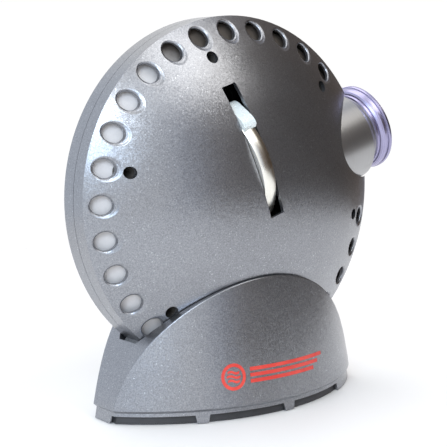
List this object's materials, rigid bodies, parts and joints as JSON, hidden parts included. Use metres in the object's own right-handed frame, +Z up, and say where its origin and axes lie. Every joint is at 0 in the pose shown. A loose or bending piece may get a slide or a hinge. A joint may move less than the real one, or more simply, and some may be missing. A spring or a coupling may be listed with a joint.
{
  "type": "liquid wheel effect projector",
  "caption": "Lens-shaped silver effect projector standing on edge in a boat-shaped base, with a turning liquid wheel and a sliding objective.",
  "frame": {"origin": "on the table under the middle of the head, in the middle plane", "axes": "+Z up, -Y the front face with the wheel slot, +X the side the objective points to"},
  "size_m": [0.278, 0.1273, 0.2845],
  "materials": {
    "silver_paint": "silver flake paint over black moulding",
    "black_oxide": "black oxide",
    "baffle_white": "matt",
    "satin_silver": "satin",
    "violet_anodised": "polished",
    "black_anodised": "matt",
    "lens_glass": "polished",
    "zinc_sheet": "satin",
    "reflector_glass": "polished",
    "quartz": "polished",
    "ceramic_white": "matt",
    "screw_steel": "satin",
    "cast_aluminium": "satin",
    "gearbox_plastic": "matt",
    "terminal_plastic": "matt",
    "lead_sleeve": "matt",
    "polished_rim": "polished",
    "clear_liquid": "clear",
    "coloured_oil": "clear",
    "hub_plastic": "gloss",
    "brass_nut": "satin",
    "frosted_clear": "translucent",
    "black_rubber": "matt",
    "grey_felt": "felt",
    "case_plastic": "matt",
    "circuit_board": "matt",
    "gland_plastic": "matt"
  },
  "bodies": {
    "base": {"base_housing": "silver_paint", "base_terminal_block": "terminal_plastic", "base_tray": "case_plastic", "base_tray_screws": "screw_steel", "cord_gland": "gland_plastic", "head_cradle_pads": "grey_felt", "rubber_feet": "black_rubber", "transformer_board": "circuit_board", "transformer_case": "case_plastic", "transformer_lid": "case_plastic"},
    "head": {"case_screws": "black_oxide", "chassis_screws": "screw_steel", "condenser_lens": "lens_glass", "condenser_mount": "cast_aluminium", "condenser_spacer": "cast_aluminium", "front_shell": "silver_paint", "front_vent_baffle": "baffle_white", "gate_plate": "zinc_sheet", "heat_glass": "lens_glass", "lamp_bracket": "zinc_sheet", "lamp_capsule": "quartz", "lamp_clips": "screw_steel", "lamp_leads": "lead_sleeve", "lamp_pins": "screw_steel", "lamp_reflector": "reflector_glass", "lamp_terminal_block": "terminal_plastic", "lampholder": "ceramic_white", "lens_bulkhead": "zinc_sheet", "lens_neck": "satin_silver", "motor_bracket": "zinc_sheet", "motor_gearbox": "gearbox_plastic", "motor_screws": "screw_steel", "neck_screws": "screw_steel", "optical_chassis": "zinc_sheet", "rear_shell": "silver_paint", "rear_vent_baffle": "baffle_white", "wheel_motor": "screw_steel"},
    "effect_wheel": {"wheel_axle": "screw_steel", "wheel_filler_cap": "frosted_clear", "wheel_front_glass": "lens_glass", "wheel_hub": "hub_plastic", "wheel_hub_washer": "hub_plastic", "wheel_liquid": "clear_liquid", "wheel_nut": "brass_nut", "wheel_oil_drops": "coloured_oil", "wheel_rear_glass": "lens_glass", "wheel_rim": "polished_rim"},
    "lens_barrel": {"front_lens_ring": "black_anodised", "lens_end_ring": "violet_anodised", "lens_spacer": "black_anodised", "lens_tube": "black_anodised", "objective_front_lens": "lens_glass", "objective_rear_lens": "lens_glass", "rear_lens_ring": "black_anodised"}
  },
  "joints": [
    {"name": "head_tilt", "type": "hinge", "parent": "base", "child": "head", "pos_m": [0, 0, 0.1545], "axis": [0, -1, 0], "range_deg": [-28, 80]},
    {"name": "wheel_spin", "type": "hinge", "parent": "head", "child": "effect_wheel", "pos_m": [-0.00668, -0.0096, 0.17557], "axis": [0.9532, 0, 0.3024], "continuous": true},
    {"name": "lens_focus", "type": "slide", "parent": "head", "child": "lens_barrel", "axis": [0.9532, 0, 0.3024], "range_m": [0, 0.012]}
  ]
}
